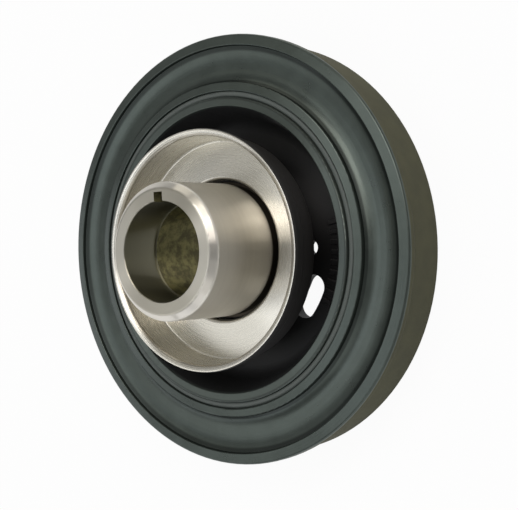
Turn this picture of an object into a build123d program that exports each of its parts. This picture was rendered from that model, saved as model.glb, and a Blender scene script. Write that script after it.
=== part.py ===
"""Harmonic balancer of a car engine.

A cast hub is keyed to the crankshaft, a rubber ring bonded round it carries a heavy inertia ring, and
a pressed steel dish on the hub's snout shields the oil seal.

Millimetres. Z is the crankshaft's axis, with the snout, which is the engine side, up. The origin lies
on that axis, in the plane of the pulley side. Angles are degrees about Z from +X.
"""

from build123d import *
import os

# Bore of the hub, for the crankshaft's nose
bore_radius = 17.5
counterbore_radius = 18.0
counterbore_depth = 16.5
bore_chamfer = 0.3
keyway_width = 4.0
keyway_depth = 3.8
keyway_angle = 92.5

# Web of the hub, between the boss and the rim
boss_radius = 25.0
boss_height = 5.0
boss_rounding = 0.8
web_thickness = 5.0
web_fillet = 1.5

# Snout of the hub: a shoulder and register for the shield, a relief, and the oil seal's journal
shoulder_radius = 28.0
shoulder_height = 6.0
shoulder_fillet = 2.0
register_radius = 26.3
register_height = 4.5
relief_radius = 24.6
relief_height = 5.5
journal_radius = 25.0
journal_length = 30.0
nose_chamfer_width = 2.3
nose_chamfer_height = 2.3
nose_rounding = 1.4

# Rim of the hub, which the rubber is bonded to
rim_front_width = 3.4
rim_root_width = 8.7
rim_front_height = 15.7
rim_rear_width = 5.8
rim_edge_rounding = 0.5
rim_root_fillet = 5.0
rim_rear_fillet = 2.5

# Three kidney windows through the web, each a slot along an arc
window_count = 3
window_circle_radius = 34.9
window_width = 9.3
window_sweep = 13.3
window_angle = -30.5

# Three bolt holes through the web
hole_count = 3
hole_circle_radius = 31.2
hole_radius = 2.75
hole_angle = 1.0

# Short raised bars cast on the web
bar_count = 9
bar_pitch = 5.1
bar_group_angle = -6.6
bar_circle_radius = 42.3
bar_length = 4.4
bar_width = 2.0
bar_height = 0.8
bar_rounding = 0.35

# Rubber ring
rubber_thickness = 2.3
rubber_front_setback = 1.7
rubber_crown = 0.8
rubber_rear_setback = 1.0
rubber_rear_hollow = 0.4

# Inertia ring
ring_bore_radius = 59.6
ring_radius = 81.0
ring_front_height = 22.6
ring_corner_rounding = 1.0
flange_thickness = 3.2
flange_overhang = 1.4
flange_fillet = 1.6
ring_taper = 0.6
ring_rear_chamfer = 0.8
ring_bore_chamfer = 0.5
rim_face_width = 4.15
rim_face_rise = 0.9
rim_step_height = 1.3
rim_step_width = 0.4
lip_width = 3.25
lip_rise = 2.8
lip_fall = 0.8
lip_step_height = 1.8
lip_step_width = 0.2
lip_rounding = 0.4
band_depth = 2.0
band_inner_sweep_width = 5.0
band_outer_sweep_width = 6.1

# Pressed dust shield
sheet_thickness = 1.2
collar_length = 8.3
collar_bend_radius = 0.8
dish_floor_radius = 41.8
dish_floor_drop = 0.8
dish_floor_bend_radius = 1.3
dish_mouth_radius = 42.8
dish_wall_height = 13.8
dish_lip_reach = 1.95
dish_lip_height = 0.5
dish_lip_bend_radius = 1.0

# Heights above the pulley side that pieces share
web_front = boss_height + web_thickness
shoulder_front = web_front + shoulder_height
register_front = shoulder_front + register_height
relief_front = register_front + relief_height
journal_front = relief_front + journal_length
nose_front = journal_front + nose_chamfer_height
rim_front = web_front + rim_front_height

# Radii that pieces share
rim_radius = ring_bore_radius - rubber_thickness


def outline(*corners):
    """Closed outline in radius and height, with a rounding at each corner."""
    points = [(radius, height) for radius, height, rounding in corners]
    roundings = [rounding for radius, height, rounding in corners]
    return FilletPolyline(*points, radius=roundings, close=True)


def open_outline(*corners):
    """Open outline in radius and height, with a rounding at each corner but the two ends."""
    points = [(radius, height) for radius, height, rounding in corners]
    roundings = [rounding for radius, height, rounding in corners[1:-1]]
    return FilletPolyline(*points, radius=roundings)


def turned(section):
    """Body of revolution about Z from a flat section in radius and height."""
    return revolve(Plane.XZ * section, Axis.Z)


def around(count, first_angle, step=None):
    """Angles of a pattern about Z, over the full circle unless a step is given."""
    pitch = 360 / count if step is None else step
    return [first_angle + pitch * index for index in range(count)]


def on_circle(radius, angle, height=0.0):
    """Place on a circle about Z, turned to face outwards."""
    return Rot(0, 0, angle) * Pos(radius, 0, height)


def hub_blank():
    """Turned form of the hub: boss, web, rim and snout, with the stepped bore."""
    return turned(
        make_face(
            outline(
                (bore_radius + bore_chamfer, 0, 0),
                (boss_radius, 0, boss_rounding),
                (boss_radius, boss_height, web_fillet),
                (rim_radius - rim_rear_width, boss_height, rim_rear_fillet),
                (rim_radius - rim_rear_width, 0, rim_edge_rounding),
                (rim_radius, 0, rim_edge_rounding),
                (rim_radius, rim_front, rim_edge_rounding),
                (rim_radius - rim_front_width, rim_front, rim_edge_rounding),
                (rim_radius - rim_root_width, web_front, rim_root_fillet),
                (shoulder_radius, web_front, shoulder_fillet),
                (shoulder_radius, shoulder_front, rim_edge_rounding),
                (register_radius, shoulder_front, 0),
                (register_radius, register_front, rim_edge_rounding),
                (relief_radius, register_front, 0),
                (relief_radius, relief_front, 0),
                (journal_radius, relief_front, 0),
                (journal_radius, journal_front, nose_rounding),
                (journal_radius - nose_chamfer_width, nose_front, nose_rounding),
                (counterbore_radius + bore_chamfer, nose_front, 0),
                (counterbore_radius, nose_front - bore_chamfer, 0),
                (counterbore_radius, nose_front - counterbore_depth, 0),
                (bore_radius, nose_front - counterbore_depth, 0),
                (bore_radius, bore_chamfer, 0),
            )
        )
    )


def keyway():
    """Slot along the whole bore for the crankshaft's key."""
    depth = bore_radius + keyway_depth
    slot = Box(depth, keyway_width, nose_front, align=(Align.MIN, Align.CENTER, Align.MIN))
    return Rot(0, 0, keyway_angle) * slot


def window(angle):
    """Kidney window through the web, its middle at an angle."""
    middle = CenterArc((0, 0), window_circle_radius, angle - window_sweep / 2, window_sweep)
    return Pos(0, 0, boss_height) * extrude(SlotArc(middle, window_width), web_thickness)


def bolt_hole(angle):
    """Round hole through the web."""
    drill = Cylinder(hole_radius, web_thickness, align=(Align.CENTER, Align.CENTER, Align.MIN))
    return on_circle(hole_circle_radius, angle, boss_height) * drill


def bar(angle):
    """Raised bar on the web's front, lying along a radius."""
    block = Box(bar_length, bar_width, bar_height, align=(Align.CENTER, Align.CENTER, Align.MIN))
    block = fillet(block.edges().group_by(Axis.Z)[-1], bar_rounding)
    return on_circle(bar_circle_radius, angle, web_front) * block


def hub():
    """Casting that is keyed to the crankshaft and carries the other pieces."""
    body = hub_blank() - keyway()
    for angle in around(window_count, window_angle):
        body -= window(angle)
    for angle in around(hole_count, hole_angle):
        body -= bolt_hole(angle)
    first_bar = bar_group_angle - bar_pitch * (bar_count - 1) / 2
    for angle in around(bar_count, first_bar, bar_pitch):
        body += bar(angle)
    return body


def rubber_ring():
    """Rubber between the hub's rim and the inertia ring, crowned in front and hollow behind."""
    middle = rim_radius + rubber_thickness / 2
    front = rim_front - rubber_front_setback
    rear = rubber_rear_setback
    top = front + rubber_crown
    dip = rear + rubber_rear_hollow
    crown = ThreePointArc((ring_bore_radius, front), (middle, top), (rim_radius, front))
    hollow = ThreePointArc((rim_radius, rear), (middle, dip), (ring_bore_radius, rear))
    inner_side = Line((rim_radius, front), (rim_radius, rear))
    outer_side = Line((ring_bore_radius, rear), (ring_bore_radius, front))
    return turned(make_face([crown, inner_side, hollow, outer_side]))


def inertia_ring():
    """Heavy outer ring: lip round the rubber, swept band, stepped rim and a flange over a plain drum."""
    lip_outer = ring_bore_radius + lip_width
    lip_front = ring_front_height + lip_rise
    band_inner = lip_outer + lip_step_width
    band_inner_height = lip_front - lip_fall - lip_step_height
    rim_inner = ring_radius - rim_face_width
    band_outer = rim_inner - rim_step_width
    rim_inner_height = ring_front_height + rim_face_rise
    band_outer_height = rim_inner_height - rim_step_height
    drum_radius = ring_radius - flange_overhang
    flange_rear = ring_front_height - flange_thickness
    section_edge = open_outline(
        (band_inner, band_inner_height, 0),
        (lip_outer, lip_front - lip_fall, lip_rounding),
        (ring_bore_radius, lip_front, lip_rounding),
        (ring_bore_radius, ring_bore_chamfer, 0),
        (ring_bore_radius + ring_bore_chamfer, 0, 0),
        (drum_radius - ring_taper - ring_rear_chamfer, 0, 0),
        (drum_radius - ring_taper, ring_rear_chamfer, 0),
        (drum_radius, flange_rear - flange_overhang, flange_fillet),
        (ring_radius, flange_rear, flange_fillet),
        (ring_radius, ring_front_height, ring_corner_rounding),
        (rim_inner, rim_inner_height, lip_rounding),
        (band_outer, band_outer_height, 0),
    )
    floor_inner = band_inner + band_inner_sweep_width
    floor_outer = band_outer - band_outer_sweep_width
    floor_height = ring_front_height - band_depth
    floor_start = (floor_inner, floor_height)
    floor_end = (floor_outer, floor_height)
    inner_sweep = TangentArc(floor_start, (band_inner, band_inner_height), tangent=(-1, 0))
    band_floor = Line(floor_start, floor_end)
    outer_sweep = TangentArc(floor_end, (band_outer, band_outer_height), tangent=(1, 0))
    return turned(make_face([section_edge, inner_sweep, band_floor, outer_sweep]))


def dust_shield():
    """Dish pressed from sheet, its collar pushed on the hub's register down to the shoulder."""
    half_sheet = sheet_thickness / 2
    collar_radius = register_radius + half_sheet
    floor_at_collar = shoulder_front + collar_length
    floor_at_wall = floor_at_collar - dish_floor_drop
    wall_top = floor_at_wall + dish_wall_height
    middle_line = open_outline(
        (collar_radius, shoulder_front, 0),
        (collar_radius, floor_at_collar, collar_bend_radius),
        (dish_floor_radius, floor_at_wall, dish_floor_bend_radius),
        (dish_mouth_radius, wall_top, dish_lip_bend_radius),
        (dish_mouth_radius + dish_lip_reach, wall_top + dish_lip_height, 0),
    )
    return turned(trace(middle_line, sheet_thickness))


os.makedirs("parts", exist_ok=True)
export_step(hub(), "parts/hub.step")
export_step(rubber_ring(), "parts/rubber_ring.step")
export_step(inertia_ring(), "parts/inertia_ring.step")
export_step(dust_shield(), "parts/dust_shield.step")
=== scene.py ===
"""Harmonic balancer: finishes of its four pieces, and the studio that shows them.

Metres throughout. Z is the crankshaft's axis, with the snout up. The part rests on its pulley side at
Z = 0.
"""

import math

import bpy
from bpy.props import FloatProperty, FloatVectorProperty, PointerProperty
from bpy.types import Operator, Panel, PropertyGroup
from mathutils import Matrix, Vector


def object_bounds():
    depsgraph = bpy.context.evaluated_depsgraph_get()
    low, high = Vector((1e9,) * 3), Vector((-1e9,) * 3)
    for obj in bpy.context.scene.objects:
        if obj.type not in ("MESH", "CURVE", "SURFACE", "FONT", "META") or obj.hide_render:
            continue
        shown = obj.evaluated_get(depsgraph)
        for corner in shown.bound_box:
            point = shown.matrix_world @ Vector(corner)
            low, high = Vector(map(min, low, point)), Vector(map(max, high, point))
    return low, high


bl_info = {
    "name": "Harmonic balancer",
    "version": (1, 0, 0),
    "blender": (4, 5, 0),
    "location": "View3D > Sidebar > Balancer",
    "description": "Finishes the pieces of a harmonic balancer and lights them in a studio",
    "category": "Object",
}

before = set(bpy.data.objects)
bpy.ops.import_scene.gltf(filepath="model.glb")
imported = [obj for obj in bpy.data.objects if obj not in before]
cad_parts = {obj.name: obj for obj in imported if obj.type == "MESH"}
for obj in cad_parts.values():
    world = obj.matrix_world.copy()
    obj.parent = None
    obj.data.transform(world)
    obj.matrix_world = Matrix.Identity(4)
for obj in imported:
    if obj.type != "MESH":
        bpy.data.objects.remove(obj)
cad_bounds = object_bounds()

MM = 0.001
PART_RADIUS = cad_bounds[1][0]
PART_TOP = cad_bounds[1][2]

# Inertia ring: radii and heights between which its finish changes and its drum takes a painted
# reflection, and the colours of painted shade in its corners and under the flange
DRUM_RADII = (PART_RADIUS - 3.0 * MM, PART_RADIUS - 2.6 * MM)
DRUM_HEIGHTS = (21.9 * MM, 21.5 * MM)
FLANGE_SHADE_HEIGHTS = (17.4 * MM, 19.6 * MM)
BAND_CORNER_RADII = (74.9 * MM, 76.6 * MM)
BAND_CORNER_HEIGHTS = (20.5 * MM, 20.7 * MM)
LIP_CORNER_RADII = (62.95 * MM, 63.9 * MM)
LIP_CORNER_HEIGHTS = (20.0 * MM, 23.6 * MM)
CORNER_SHADE = (0.016, 0.020, 0.018)
FLANGE_SHADE = (0.020, 0.019, 0.012)

# Hub: the keyway, the radii and heights where the finish changes, the colours of painted shade at the
# rim's edge and in the relief groove, and the colours of the stain in the rough bore
KEYWAY_ANGLE = math.radians(92.5)
KEYWAY_HALF_WIDTH = 2.03 * MM
KEYWAY_REACH = 21.6 * MM
KEYWAY_TOP = PART_TOP - 0.05 * MM
BORE_RADII = (18.25 * MM, 18.15 * MM)
BORE_TOP = PART_TOP - 0.1 * MM
ROUGH_BORE_TOP = PART_TOP - 16.6 * MM
SNOUT_RADIUS = 25.6 * MM
SNOUT_FOOT = 19.1 * MM
RELIEF_GROOVE_HEIGHTS = (25.4 * MM, 24.6 * MM)
CHAMFER_HEIGHTS = (PART_TOP - 2.7 * MM, PART_TOP - 1.9 * MM)
NOSE_HEIGHTS = (PART_TOP - 0.2 * MM, PART_TOP - 0.05 * MM)
RIM_RADII = (53.3 * MM, 53.9 * MM)
RIM_EDGE_RADII = (56.35 * MM, 56.95 * MM)
RIM_EDGE_SHADE = (0.008, 0.008, 0.008)
RELIEF_GROOVE_SHADE = (0.08, 0.07, 0.055)
OIL_DARK = (0.13, 0.12, 0.065)
OIL_LIGHT = (0.30, 0.28, 0.13)

# Dust shield: the inner wall, which takes a painted tan reflection, its crease and the rounded lip;
# faces that look outwards beyond OUTSIDE_RADIUS are the dish's outside
OUTSIDE_RADIUS = 35.0 * MM
WALL_HEIGHTS = (24.8 * MM, 25.4 * MM)
WALL_RADII = (43.3 * MM, 43.0 * MM)
CREASE_HEIGHTS = (30.8 * MM, 31.1 * MM)
LIP_RADII = (43.2 * MM, 43.3 * MM)
LIP_CREST_RADIUS = 43.95 * MM
LIP_HALF_WIDTH = 0.7 * MM

# Light tent: its size, its white surroundings and the tints of its lamps
TENT_RADIUS = 1.3
TENT_CENTRE_HEIGHT = 0.02
WORLD_STRENGTH = 0.22
WHITE = (1.0, 1.0, 1.0)
WARM = (1.0, 0.94, 0.91)
AMBER = (1.0, 0.95, 0.83)
COOL = (0.92, 0.94, 1.0)

# Softboxes: name, azimuth and elevation in degrees, width, height, brightness and tint
SOFTBOXES = (
    ("key", 66, 50, 0.60, 0.60, 2.90, WARM),
    ("key_side", 36, 48, 0.60, 0.60, 2.10, WARM),
    ("key_top", 90, 70, 0.97, 0.53, 1.40, WHITE),
    ("overhead", 210, 70, 0.97, 0.53, 1.20, COOL),
    ("zenith", 0, 89, 0.53, 0.53, 0.50, WHITE),
    ("upper_side", 77, 31, 0.53, 0.53, 0.90, AMBER),
    ("upper_low", 103, 12, 0.58, 0.53, 0.90, AMBER),
    ("upper_high", 140, 50, 0.53, 0.55, 0.30, AMBER),
    ("left_upper", 154, 31, 0.58, 0.53, 0.20, WHITE),
    ("left_high", 210, 48, 0.75, 0.60, 0.85, WHITE),
    ("left_fill", 205, 31, 1.20, 0.53, 0.20, WHITE),
    ("left_low", 206, 12, 1.75, 0.53, 0.85, COOL),
    ("left_end", 257, 12, 0.58, 0.53, 1.10, COOL),
    ("lower_low", 283, 12, 0.58, 0.53, 0.95, COOL),
    ("lower_side", 296, 31, 0.97, 0.53, 0.50, WHITE),
    ("lower_high", 295, 50, 0.53, 0.53, 0.60, WHITE),
    ("lower_right", 334, 31, 0.53, 0.53, 0.30, WHITE),
)

# Floor: its size, how far it lies under the part, and how white a view or a reflection sees it
FLOOR_HALF_WIDTH = 3.0
FLOOR_GAP = 0.2 * MM
FLOOR_WHITENESS = 0.95


# Shader expressions


class Value:
    """Output of a shader node that can be written in sums, products and comparisons."""

    def __init__(self, finish, socket):
        self.finish = finish
        self.socket = socket

    def maths(self, operation, *operands):
        inputs = dict(enumerate(operands))
        return self.finish.node("ShaderNodeMath", {"operation": operation}, inputs)

    def __add__(self, other):
        return self.maths("ADD", self, other)

    def __radd__(self, other):
        return self.maths("ADD", other, self)

    def __sub__(self, other):
        return self.maths("SUBTRACT", self, other)

    def __rsub__(self, other):
        return self.maths("SUBTRACT", other, self)

    def __mul__(self, other):
        return self.maths("MULTIPLY", self, other)

    def __rmul__(self, other):
        return self.maths("MULTIPLY", other, self)

    def __truediv__(self, other):
        return self.maths("DIVIDE", self, other)

    def __pow__(self, other):
        return self.maths("POWER", self, other)

    def __gt__(self, other):
        return self.maths("GREATER_THAN", self, other)

    def __lt__(self, other):
        return self.maths("LESS_THAN", self, other)

    def __abs__(self):
        return self.maths("ABSOLUTE", self)

    def __or__(self, other):
        return self.maths("MAXIMUM", self, other)


class Finish:
    """A procedural material, written as expressions on the place of a point in the part."""

    def __init__(self, name):
        self.material = bpy.data.materials.new(name)
        self.material.use_nodes = True
        self.tree = self.material.node_tree
        self.tree.nodes.clear()
        self.place = self.node("ShaderNodeTexCoord", output="Object")
        split = self.node("ShaderNodeSeparateXYZ", inputs={"Vector": self.place}, output=None)
        self.x, self.y, self.height = (Value(self, socket) for socket in split.outputs)
        self.radius = (self.x * self.x + self.y * self.y) ** 0.5

    def node(self, kind, settings=None, inputs=None, output=0):
        """Adds a node with its settings, then its inputs' values or links.

        Returns the output that is asked for, or the bare node where output is None.
        """
        made = self.tree.nodes.new(kind)
        for name, value in (settings or {}).items():
            setattr(made, name, value)
        for name, value in (inputs or {}).items():
            if isinstance(value, Value):
                self.tree.links.new(value.socket, made.inputs[name])
            else:
                made.inputs[name].default_value = value
        return made if output is None else Value(self, made.outputs[output])

    def noise(self, size, detail=3.0, roughness=0.5, along=None):
        """Noise from 0 to 1, its features about size metres across, in space or along one value."""
        settings = {"noise_dimensions": "3D" if along is None else "1D"}
        where = {"Vector": self.place} if along is None else {"W": along}
        inputs = {**where, "Scale": 1.0 / size, "Detail": detail, "Roughness": roughness}
        return self.node("ShaderNodeTexNoise", settings, inputs, "Fac")

    def step(self, value, start, end):
        """0 at start, 1 at end, and smooth between them, whichever of the two is larger."""
        settings = {"interpolation_type": "SMOOTHSTEP", "clamp": True}
        inputs = {"Value": value, "From Min": start, "From Max": end}
        return self.node("ShaderNodeMapRange", settings, inputs)

    def within(self, value, start, end, soft):
        """1 between start and end, falling to 0 over soft on either side."""
        past_start = self.step(value, start - soft, start + soft)
        past_end = self.step(value, end - soft, end + soft)
        return past_start * (1.0 - past_end)

    def blend(self, mask, under, over):
        """Colour under where the mask is 0, and over where it is 1."""
        under, over = (value if isinstance(value, Value) else (*value, 1.0) for value in (under, over))
        # The Mix node holds sockets for each data type, so those for colours go by number
        return self.node("ShaderNodeMix", {"data_type": "RGBA"}, {0: mask, 6: under, 7: over}, 2)

    def bump(self, height, depth, under=None):
        """Surface relief: height from 0 to 1 stands for depth metres."""
        inputs = {"Strength": 1.0, "Distance": depth, "Height": height}
        if under is not None:
            inputs["Normal"] = under
        return self.node("ShaderNodeBump", inputs=inputs)

    def surface(self, **inputs):
        """Ends the finish with one shader, whose inputs are written with underscores for spaces."""
        named = {name.replace("_", " "): value for name, value in inputs.items()}
        shader = self.node("ShaderNodeBsdfPrincipled", inputs=named)
        self.node("ShaderNodeOutputMaterial", inputs={"Surface": shader}, output=None)
        return self.material


def wear_material(name, material):
    """Gives a CAD node its finish."""
    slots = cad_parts[name].data.materials
    slots.clear()
    slots.append(material)


# Sizes and colours that a user may change


class StudioSettings(PropertyGroup):
    """Camera and floor."""

    camera_place: FloatVectorProperty(
        name="Camera place", description="Where the camera stands", size=3,
        default=(0.2870, 0.0056, 0.3642), unit="LENGTH", subtype="XYZ",
    )
    camera_target: FloatVectorProperty(
        name="Camera target", description="Point that the camera looks at", size=3,
        default=(0.0144, -0.0020, 0.0200), unit="LENGTH", subtype="XYZ",
    )
    camera_roll: FloatProperty(
        name="Camera roll", description="Turn of the camera about its line of sight",
        default=math.radians(-0.8), unit="ROTATION", subtype="ANGLE",
    )
    lens: FloatProperty(
        name="Lens", description="Focal length in millimetres", default=81.9,
    )
    floor_colour: FloatVectorProperty(
        name="Floor", description="Colour of the floor", size=3,
        default=(0.80, 0.80, 0.80), subtype="COLOR",
    )


class RingSettings(PropertyGroup):
    """Finish of the inertia ring."""

    coating: FloatVectorProperty(
        name="Coating", description="Colour of the coated iron", size=3,
        default=(0.075, 0.091, 0.081), subtype="COLOR",
    )
    # Painted reflection: the drum's colour stands in for the brown-olive surroundings that it reflects
    drum: FloatVectorProperty(
        name="Drum", description="Colour of the oily film on the drum", size=3,
        default=(0.086, 0.086, 0.048), subtype="COLOR",
    )


class HubSettings(PropertyGroup):
    """Finish of the hub."""

    steel: FloatVectorProperty(
        name="Steel", description="Colour of the turned surfaces", size=3,
        default=(0.64, 0.61, 0.545), subtype="COLOR",
    )
    nose: FloatVectorProperty(
        name="Nose", description="Colour of the snout's flat end", size=3,
        default=(0.53, 0.505, 0.430), subtype="COLOR",
    )
    paint: FloatVectorProperty(
        name="Paint", description="Colour of the paint on the web", size=3,
        default=(0.006, 0.006, 0.006), subtype="COLOR",
    )
    coating: FloatVectorProperty(
        name="Coating", description="Colour of the coated iron on the rim", size=3,
        default=(0.098, 0.116, 0.104), subtype="COLOR",
    )
    bore: FloatVectorProperty(
        name="Bore", description="Colour of the counterbore's oiled wall", size=3,
        default=(0.28, 0.27, 0.205), subtype="COLOR",
    )


class ShieldSettings(PropertyGroup):
    """Finish of the dust shield."""

    steel: FloatVectorProperty(
        name="Steel", description="Colour of the bright sheet", size=3,
        default=(0.84, 0.815, 0.730), subtype="COLOR",
    )
    # Painted reflection: the tan on the inner wall stands in for the darker, warm surroundings it
    # reflects
    tint: FloatVectorProperty(
        name="Tint", description="Colour of the tan stain on the inner wall", size=3,
        default=(0.28, 0.24, 0.16), subtype="COLOR",
    )
    coating: FloatVectorProperty(
        name="Coating", description="Colour of the dark coat on the outside", size=3,
        default=(0.012, 0.011, 0.010), subtype="COLOR",
    )


class RubberSettings(PropertyGroup):
    """Finish of the rubber ring."""

    rubber: FloatVectorProperty(
        name="Rubber", description="Colour of the rubber", size=3,
        default=(0.085, 0.100, 0.092), subtype="COLOR",
    )


class BalancerSettings(PropertyGroup):
    """All settings of the balancer."""

    studio: PointerProperty(type=StudioSettings)
    ring: PointerProperty(type=RingSettings)
    hub: PointerProperty(type=HubSettings)
    shield: PointerProperty(type=ShieldSettings)
    rubber: PointerProperty(type=RubberSettings)


# Finishes


def scaled(colour, factor):
    """Lighter or darker copy of a colour."""
    return tuple(factor * channel for channel in colour)


def coated_iron(settings):
    """Matt dark coating over turned iron, with painted shade in its corners and under the flange, and a
    painted brown-olive reflection on the matt drum.
    """
    finish = Finish("coated_iron")
    radius, height = finish.radius, finish.height
    mottle = finish.noise(9 * MM, detail=4.0, roughness=0.6)
    grain = finish.noise(0.5 * MM, detail=2.0)
    grooves = finish.noise(0.35 * MM, detail=1.0, along=radius + height)
    patches = finish.step(mottle, 0.3, 0.7)
    colour = finish.blend(patches, scaled(settings.coating, 0.93), scaled(settings.coating, 1.07))

    band_corner = finish.within(radius, *BAND_CORNER_RADII, 0.5 * MM)
    band_corner = band_corner * finish.step(height, *BAND_CORNER_HEIGHTS)
    corner_foot, corner_head = LIP_CORNER_HEIGHTS
    lip_corner = finish.within(radius, *LIP_CORNER_RADII, 0.2 * MM)
    lip_corner = lip_corner * (height > corner_foot) * (height < corner_head)
    colour = finish.blend(0.75 * band_corner | 0.65 * lip_corner, colour, CORNER_SHADE)

    drum = finish.step(radius, *DRUM_RADII) * finish.step(height, *DRUM_HEIGHTS)
    # Painted reflection: a brown-olive colour on the matt drum stands in for the surroundings it
    # reflects
    painted_drum_reflection = finish.blend(patches, scaled(settings.drum, 0.8), settings.drum)
    under_flange = drum * finish.within(height, *FLANGE_SHADE_HEIGHTS, 0.2 * MM)
    colour = finish.blend(drum, colour, painted_drum_reflection)
    colour = finish.blend(0.6 * under_flange, colour, FLANGE_SHADE)

    relief = finish.bump(grooves, 0.01 * MM, finish.bump(grain, 0.02 * MM))
    return finish.surface(
        Base_Color=colour, Roughness=0.24 + 0.10 * mottle + 0.62 * drum, Metallic=0.75 * (1.0 - drum),
        Normal=relief,
    )


def hub_finish(settings):
    """Black paint on the web, coating on the rim, and turned steel on the snout and in the bore."""
    finish = Finish("hub_iron")
    radius, height = finish.radius, finish.height
    along = finish.x * math.cos(KEYWAY_ANGLE) + finish.y * math.sin(KEYWAY_ANGLE)
    across = finish.y * math.cos(KEYWAY_ANGLE) - finish.x * math.sin(KEYWAY_ANGLE)
    keyway = (along > 0) * (abs(across) < KEYWAY_HALF_WIDTH)
    keyway = keyway * (radius < KEYWAY_REACH) * (height < KEYWAY_TOP)
    bore = finish.step(radius, *BORE_RADII) * (height < BORE_TOP) | keyway
    rough_bore = bore * (height < ROUGH_BORE_TOP) | keyway
    snout = (radius < SNOUT_RADIUS) * (height > SNOUT_FOOT)
    steel = snout | bore
    rim = finish.step(radius, *RIM_RADII)
    rim_edge = finish.within(radius, *RIM_EDGE_RADII, 0.25 * MM) * rim
    groove = snout * finish.step(height, *RELIEF_GROOVE_HEIGHTS)
    chamfer_highlight = finish.step(height, *CHAMFER_HEIGHTS) * snout
    nose = finish.step(height, *NOSE_HEIGHTS) * snout

    stain = finish.noise(3.5 * MM, detail=4.0, roughness=0.65)
    streaks = finish.noise(0.25 * MM, detail=2.0, roughness=0.6, along=radius + height)
    bands = finish.noise(2.5 * MM, roughness=0.6, along=radius + height)
    turned = finish.blend(bands, scaled(settings.steel, 0.90), settings.steel)
    oil = finish.blend(finish.step(stain, 0.35, 0.65), OIL_DARK, OIL_LIGHT)

    colour = finish.blend(rim, settings.paint, settings.coating)
    colour = finish.blend(0.4 * rim_edge, colour, RIM_EDGE_SHADE)
    colour = finish.blend(steel, colour, turned)
    colour = finish.blend(groove, colour, RELIEF_GROOVE_SHADE)
    # Painted highlight: a lighter copy of the steel on the chamfer round the nose
    colour = finish.blend(chamfer_highlight, colour, scaled(settings.steel, 1.15))
    colour = finish.blend(nose, colour, settings.nose)
    colour = finish.blend(bore, colour, settings.bore)
    colour = finish.blend(rough_bore, colour, oil)

    relief = finish.bump(streaks, 0.006 * MM)
    relief = finish.bump(stain * (rough_bore | (1.0 - steel)), 0.08 * MM, relief)
    return finish.surface(
        Base_Color=colour, Roughness=0.42 - 0.13 * steel + 0.20 * rough_bore - 0.13 * rim,
        Metallic=steel | 0.8 * rim, Normal=relief, Anisotropic=0.95, Anisotropic_Rotation=0.25,
    )


def shield_finish(settings):
    """Bright sheet with fine turning marks inside, and a dark coat outside and underneath."""
    finish = Finish("shield_steel")
    radius, height = finish.radius, finish.height
    facing = finish.node("ShaderNodeNewGeometry", output="Normal")
    split = finish.node("ShaderNodeSeparateXYZ", inputs={"Vector": facing}, output=None)
    facing_x, facing_y, facing_up = (Value(finish, socket) for socket in split.outputs)
    outward = (facing_x * finish.x + facing_y * finish.y) / radius
    coated = (outward > 0.5) * (radius > OUTSIDE_RADIUS) | (facing_up < -0.3)
    bright = 1.0 - coated
    wall = finish.step(height, *WALL_HEIGHTS) * finish.step(radius, *WALL_RADII)

    streaks = finish.noise(0.3 * MM, detail=2.0, roughness=0.6, along=radius + height)
    bands = finish.noise(3.0 * MM, detail=2.0, roughness=0.6, along=radius + height)
    colour = finish.blend(bands, scaled(settings.steel, 0.93), settings.steel)
    # Painted reflection: tan over the inner wall for the darker, warm surroundings that it reflects
    colour = finish.blend(0.45 * wall, colour, settings.tint)
    colour = finish.blend(coated, colour, settings.coating)

    from_crest = (radius - LIP_CREST_RADIUS) / LIP_HALF_WIDTH
    crown = finish.step(radius, *LIP_RADII) * (1.0 - from_crest * from_crest)
    relief = finish.bump(streaks, 0.002 * MM)
    relief = finish.bump(crown, 0.18 * MM, relief)
    relief = finish.bump(finish.step(height, *CREASE_HEIGHTS), 0.12 * MM, relief)
    return finish.surface(
        Base_Color=colour, Roughness=0.45 - bright * (0.21 - 0.06 * streaks), Metallic=bright,
        Normal=relief, Anisotropic=0.90, Anisotropic_Rotation=0.25,
    )


def rubber_finish(settings):
    """Matt dark rubber with a fine grain."""
    finish = Finish("damper_rubber")
    grain = finish.noise(0.4 * MM, roughness=0.6)
    relief = finish.bump(grain, 0.04 * MM)
    return finish.surface(Base_Color=(*settings.rubber, 1.0), Roughness=0.6, Normal=relief)


# Studio


def add_camera(settings):
    """Camera that looks down on the snout, with +Y up in its picture."""
    place = Vector(settings.camera_place)
    back = (place - Vector(settings.camera_target)).normalized()
    right = Vector((0, 1, 0)).cross(back).normalized()
    up = back.cross(right)
    turn = Matrix((right, up, back)).transposed() @ Matrix.Rotation(settings.camera_roll, 3, "Z")
    camera = bpy.data.objects.new("camera", bpy.data.cameras.new("camera"))
    camera.data.lens = settings.lens
    camera.data.sensor_width = 36.0
    camera.data.sensor_fit = "HORIZONTAL"
    camera.data.clip_start = 0.01
    camera.matrix_world = Matrix.Translation(place) @ turn.to_4x4()
    bpy.context.scene.collection.objects.link(camera)
    bpy.context.scene.camera = camera


def add_softbox(name, azimuth, elevation, width, height, brightness, tint):
    """Rectangular lamp on the tent, which faces the part. Brightness is that of its lit face."""
    azimuth, elevation = math.radians(azimuth), math.radians(elevation)
    flat = math.cos(elevation)
    direction = Vector((flat * math.cos(azimuth), flat * math.sin(azimuth), math.sin(elevation)))
    lamp = bpy.data.lights.new(name, "AREA")
    lamp.shape = "RECTANGLE"
    lamp.size, lamp.size_y = width, height
    lamp.energy = math.pi * width * height * brightness
    lamp.color = tint
    softbox = bpy.data.objects.new(name, lamp)
    place = Matrix.Translation(Vector((0, 0, TENT_CENTRE_HEIGHT)) + TENT_RADIUS * direction)
    softbox.matrix_world = place @ direction.to_track_quat("Z", "Y").to_matrix().to_4x4()
    bpy.context.scene.collection.objects.link(softbox)


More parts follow.
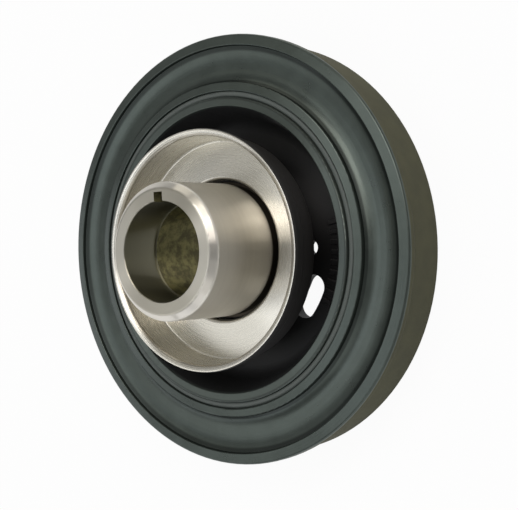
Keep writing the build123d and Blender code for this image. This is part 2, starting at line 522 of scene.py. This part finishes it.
def floor_finish(settings):
    """Pale floor that takes a shadow and looks white from the camera and in reflections."""
    finish = Finish("studio_floor")
    path = finish.node("ShaderNodeLightPath", output=None)
    kinds = ("Is Camera Ray", "Is Glossy Ray", "Is Transmission Ray")
    from_view, from_gloss, from_glass = (Value(finish, path.outputs[kind]) for kind in kinds)
    white = FLOOR_WHITENESS * (from_view | from_gloss | from_glass)
    diffuse = finish.node("ShaderNodeBsdfDiffuse", inputs={"Color": (*settings.floor_colour, 1.0)})
    glow = finish.node("ShaderNodeEmission", inputs={"Color": (1, 1, 1, 1), "Strength": 1.0})
    mixed = finish.node("ShaderNodeMixShader", inputs={0: white, 1: diffuse, 2: glow})
    finish.node("ShaderNodeOutputMaterial", inputs={"Surface": mixed}, output=None)
    return finish.material


def add_floor(settings):
    """Wide pale floor under the part."""
    half = FLOOR_HALF_WIDTH
    corners = [(-half, -half, 0), (half, -half, 0), (half, half, 0), (-half, half, 0)]
    mesh = bpy.data.meshes.new("floor")
    mesh.from_pydata(corners, [], [(0, 1, 2, 3)])
    floor = bpy.data.objects.new("floor", mesh)
    floor.location.z = -FLOOR_GAP
    mesh.materials.append(floor_finish(settings))
    bpy.context.scene.collection.objects.link(floor)


def add_world():
    """Even white surroundings."""
    world = bpy.data.worlds.new("studio")
    world.use_nodes = True
    background = world.node_tree.nodes["Background"]
    background.inputs["Color"].default_value = (1.0, 1.0, 1.0, 1.0)
    background.inputs["Strength"].default_value = WORLD_STRENGTH
    bpy.context.scene.world = world


# Operators


class BALANCER_OT_studio(Operator):
    """Add the floor, the lamps, the surroundings and the camera"""

    bl_idname = "balancer.studio"
    bl_label = "Studio"

    def execute(self, context):
        settings = context.scene.balancer.studio
        add_world()
        add_floor(settings)
        add_camera(settings)
        for softbox in SOFTBOXES:
            add_softbox(*softbox)
        context.scene.view_settings.view_transform = "Standard"
        return {"FINISHED"}


class BALANCER_OT_inertia_ring(Operator):
    """Coat the inertia ring"""

    bl_idname = "balancer.inertia_ring"
    bl_label = "Inertia ring"

    def execute(self, context):
        wear_material("inertia_ring", coated_iron(context.scene.balancer.ring))
        return {"FINISHED"}


class BALANCER_OT_hub(Operator):
    """Finish the hub"""

    bl_idname = "balancer.hub"
    bl_label = "Hub"

    def execute(self, context):
        wear_material("hub", hub_finish(context.scene.balancer.hub))
        return {"FINISHED"}


class BALANCER_OT_rubber_ring(Operator):
    """Finish the rubber ring"""

    bl_idname = "balancer.rubber_ring"
    bl_label = "Rubber ring"

    def execute(self, context):
        wear_material("rubber_ring", rubber_finish(context.scene.balancer.rubber))
        return {"FINISHED"}


class BALANCER_OT_dust_shield(Operator):
    """Finish the dust shield"""

    bl_idname = "balancer.dust_shield"
    bl_label = "Dust shield"

    def execute(self, context):
        wear_material("dust_shield", shield_finish(context.scene.balancer.shield))
        return {"FINISHED"}


class BALANCER_PT_pieces(Panel):
    """Lists the balancer's pieces and its studio"""

    bl_idname = "BALANCER_PT_pieces"
    bl_label = "Harmonic balancer"
    bl_space_type = "VIEW_3D"
    bl_region_type = "UI"
    bl_category = "Balancer"

    def draw(self, context):
        for operator in OPERATORS:
            self.layout.operator(operator.bl_idname)


OPERATORS = (
    BALANCER_OT_studio,
    BALANCER_OT_inertia_ring,
    BALANCER_OT_rubber_ring,
    BALANCER_OT_hub,
    BALANCER_OT_dust_shield,
)
SETTINGS = (StudioSettings, RingSettings, HubSettings, ShieldSettings, RubberSettings, BalancerSettings)
CLASSES = (*SETTINGS, *OPERATORS, BALANCER_PT_pieces)


def register():
    for cls in CLASSES:
        bpy.utils.register_class(cls)
    bpy.types.Scene.balancer = PointerProperty(type=BalancerSettings)


def unregister():
    del bpy.types.Scene.balancer
    for cls in reversed(CLASSES):
        bpy.utils.unregister_class(cls)


def main():
    """Registers the classes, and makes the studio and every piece."""
    register()
    bpy.ops.balancer.studio()
    bpy.ops.balancer.inertia_ring()
    bpy.ops.balancer.rubber_ring()
    bpy.ops.balancer.hub()
    bpy.ops.balancer.dust_shield()


if __name__ == "__main__":
    main()
